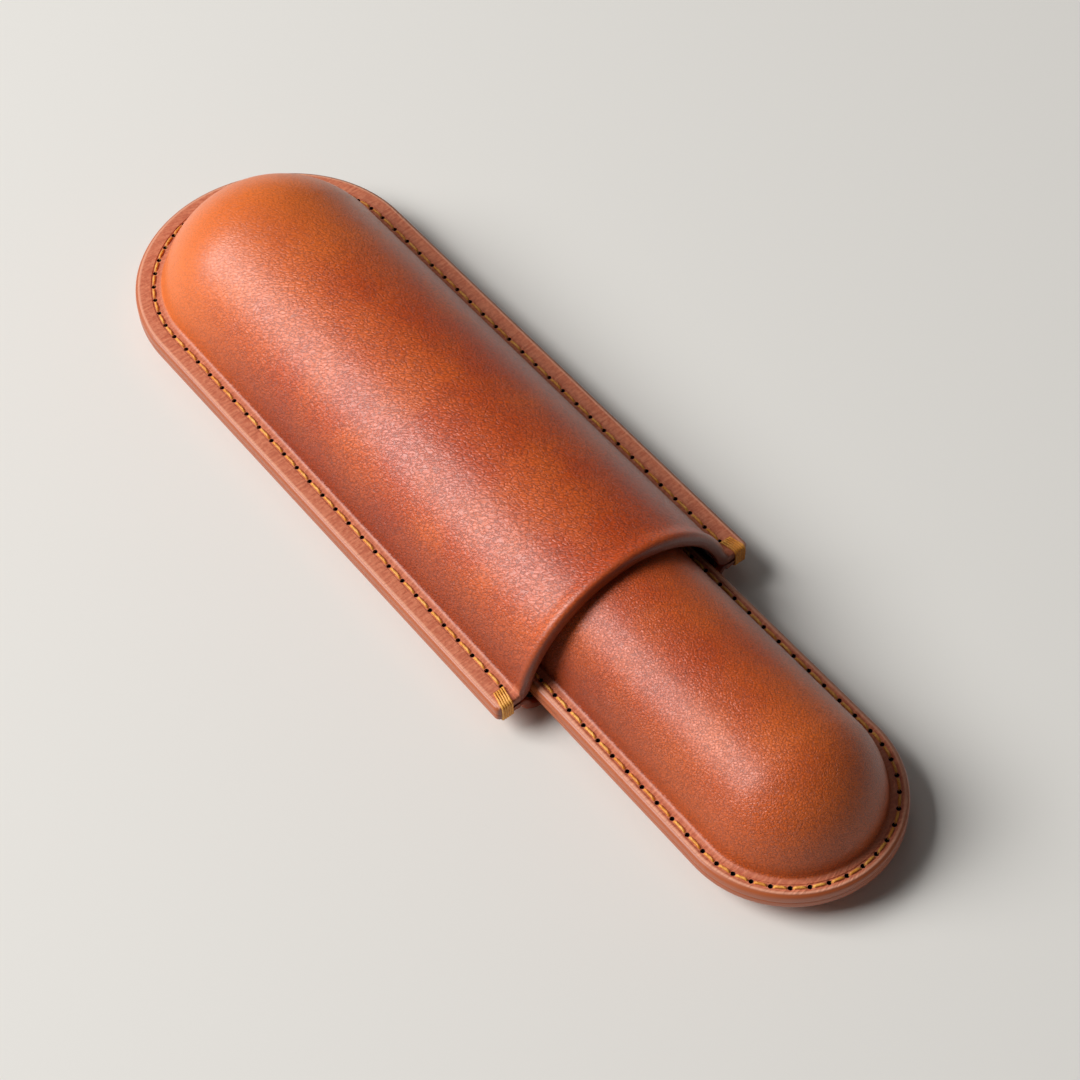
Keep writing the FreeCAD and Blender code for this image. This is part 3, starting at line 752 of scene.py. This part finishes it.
body_leather = finish_leather("body_leather", BODY_CENTRE, 1, BODY_FOOT, BODY_HALF_WIDTH,
                              mouth=BODY_CENTRE - BODY_STRAIGHT * MM, cell=0.43 * MM, stretch=1.3,
                              end_grain=0.9, end_stretch_and_light=0.35)
for side_name, node, crown, land in (("upper", "body_top_shell", BODY_CROWN, 0),
                                     ("lower", "body_bottom_shell", BODY_DEPTH, BODY_LAND)):
    shell = mould_leather(f"body_{side_name}_leather", crown, land, BODY_FOOT, BODY_STITCH_LINE,
                          BODY_HALF_WIDTH, BODY_PITCH, BODY_SIDE_STITCHES, BODY_END_STITCHES)
    set_in_place(shell, BODY_CENTRE, faces_cap=True, lower=side_name == "lower")
    for finish in (body_leather, needle_hole_shade):
        shell.data.materials.append(finish)
    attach(shell, "body")
    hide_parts(node)


# Body lining, upper and lower. The same dark napped cloth as in the cap, glued inside each half and
# caught in the seam.
for side_name, node, crown, land in (("upper", "body_top_lining", BODY_CROWN, 0),
                                     ("lower", "body_bottom_lining", BODY_DEPTH, BODY_LAND)):
    lining = mould_lining(f"body_{side_name}_lining", crown, land, BODY_FOOT, BODY_HALF_WIDTH,
                          BODY_STRAIGHT)
    set_in_place(lining, BODY_CENTRE, faces_cap=True, lower=side_name == "lower")
    lining.data.materials.append(napped_cloth)
    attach(lining, "body")
    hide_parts(node)


# Body seam, upper and lower thread. The same golden lockstitch as on the cap, with a slightly
# shorter stitch, in the groove of the body's flange.
for side_name, node in (("upper", "body_top_stitches"), ("lower", "body_bottom_stitches")):
    seam = sew_seam(f"body_{side_name}_thread", BODY_STITCH_LINE, BODY_PITCH, BODY_SIDE_STITCHES,
                    BODY_END_STITCHES)
    set_in_place(seam, BODY_CENTRE, faces_cap=True, lower=side_name == "lower")
    seam.data.materials.clear()
    seam.data.materials.append(golden_thread)
    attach(seam, "body")
    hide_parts(node)


# Body bar tacks. Three strands of the same thread bind each corner of the body's mouth, where the
# flange is narrower.
for side_name, hand in (("left", -1), ("right", 1)):
    tack = tack_corner(f"body_{side_name}_tack", BODY_STITCH_LINE - STRAND_INSET, 3, BODY_STRAIGHT,
                       hand)
    set_in_place(tack, BODY_CENTRE, faces_cap=True)
    tack.data.materials.append(golden_thread)
    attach(tack, "body")
    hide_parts(f"body_{side_name}_bar_tack")


# Studio. A pale matt floor, a large soft key lamp from the left and a weak one overhead, in a dim
# grey room. The camera's direction and lens come from a fit to the needle holes of both seams.
bpy.ops.object.select_all(action="DESELECT")
bpy.ops.mesh.primitive_plane_add(size=4)
floor = bpy.context.object
floor.name = "floor"
paper = bpy.data.materials.new("pale_floor")
paper.use_nodes = True
paper.node_tree.nodes["Principled BSDF"].inputs["Base Color"].default_value = colour(230, 227, 221)
paper.node_tree.nodes["Principled BSDF"].inputs["Roughness"].default_value = 0.85
floor.data.materials.append(paper)

camera_data = bpy.data.cameras.new("camera")
camera_data.lens = 85.54
camera_data.sensor_width = 36
camera = bpy.data.objects.new("camera", camera_data)
bpy.context.scene.collection.objects.link(camera)
turn = math.radians(54.156)
tilt = math.radians(53.336)
roll = math.radians(-2.63)
back = Vector((math.sin(turn) * math.cos(tilt), -math.cos(turn) * math.cos(tilt), math.sin(tilt)))
right = Vector((math.cos(turn), math.sin(turn), 0))
up = back.cross(right)
leaning = (math.cos(roll) * right + math.sin(roll) * up,
           math.cos(roll) * up - math.sin(roll) * right, back)
target = Vector((9.97, -0.16, 6.6)) * MM
distance = 388.55 * MM
camera.matrix_world = Matrix.Translation(target + back * distance) @ (
    Matrix(leaning).transposed().to_4x4())
bpy.context.scene.camera = camera

for lamp_name, size, energy, place in (("key", 0.9, 30.5, (-0.68, -0.9, 1.0)),
                                       ("overhead", 0.9, 1, (-0.6, 0.1, 1.35))):
    lamp_data = bpy.data.lights.new(lamp_name, "AREA")
    lamp_data.size = size
    lamp_data.energy = energy
    lamp = bpy.data.objects.new(lamp_name, lamp_data)
    lamp.location = place
    lamp.rotation_mode = "QUATERNION"
    lamp.rotation_quaternion = lamp.location.to_track_quat("Z", "Y")
    bpy.context.scene.collection.objects.link(lamp)

world = bpy.data.worlds.new("room")
world.use_nodes = True
world.node_tree.nodes["Background"].inputs["Color"].default_value = (0.9, 0.9, 0.9, 1)
world.node_tree.nodes["Background"].inputs["Strength"].default_value = 0.07
bpy.context.scene.world = world
bpy.context.scene.view_settings.view_transform = "Standard"
